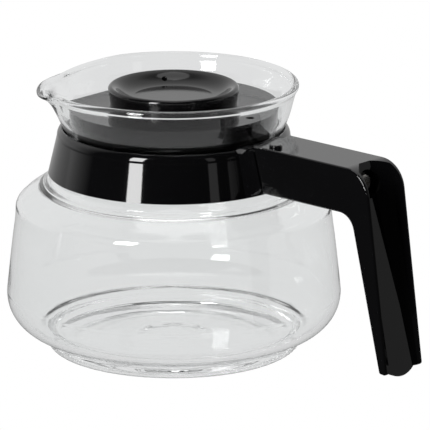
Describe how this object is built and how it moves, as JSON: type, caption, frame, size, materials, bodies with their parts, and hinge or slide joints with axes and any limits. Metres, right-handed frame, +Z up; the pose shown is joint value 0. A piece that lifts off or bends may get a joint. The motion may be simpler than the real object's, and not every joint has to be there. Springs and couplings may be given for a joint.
{
  "type": "glass coffee jug",
  "caption": "Clear glass drip-coffee jug with pouring spout, clamped black collar, open channel handle and lift-off dished lid",
  "frame": {"origin": "centre of the vessel's resting face, on the vessel's axis", "axes": "+Z up along the vessel's axis; +X from the axis towards the handle; +Y completes the right-handed frame"},
  "size_m": [0.228, 0.162, 0.1315],
  "materials": {
    "vessel_glass": "clear blown borosilicate glass, fire-polished rim",
    "black_gloss": "glossy black injection-moulded plastic",
    "lid_black": "satin to glossy black moulded plastic",
    "liner_rubber": "matt black soft liner",
    "screw_chrome": "bright nickel plate",
    "nut_brass": "plain brass"
  },
  "bodies": {
    "jug": {"glass_vessel": "vessel_glass", "collar": "black_gloss", "neck_liner": "liner_rubber", "handle": "black_gloss", "clamp_screw": "screw_chrome", "screw_washer": "screw_chrome", "clamp_nut": "nut_brass"},
    "lid": {"lid_plate": "lid_black", "lid_knob": "lid_black"}
  },
  "joints": [
    {"name": "lid_lift", "type": "slide", "parent": "jug", "child": "lid", "axis": [0, 0, 1], "range_m": [0, 0.09]}
  ]
}
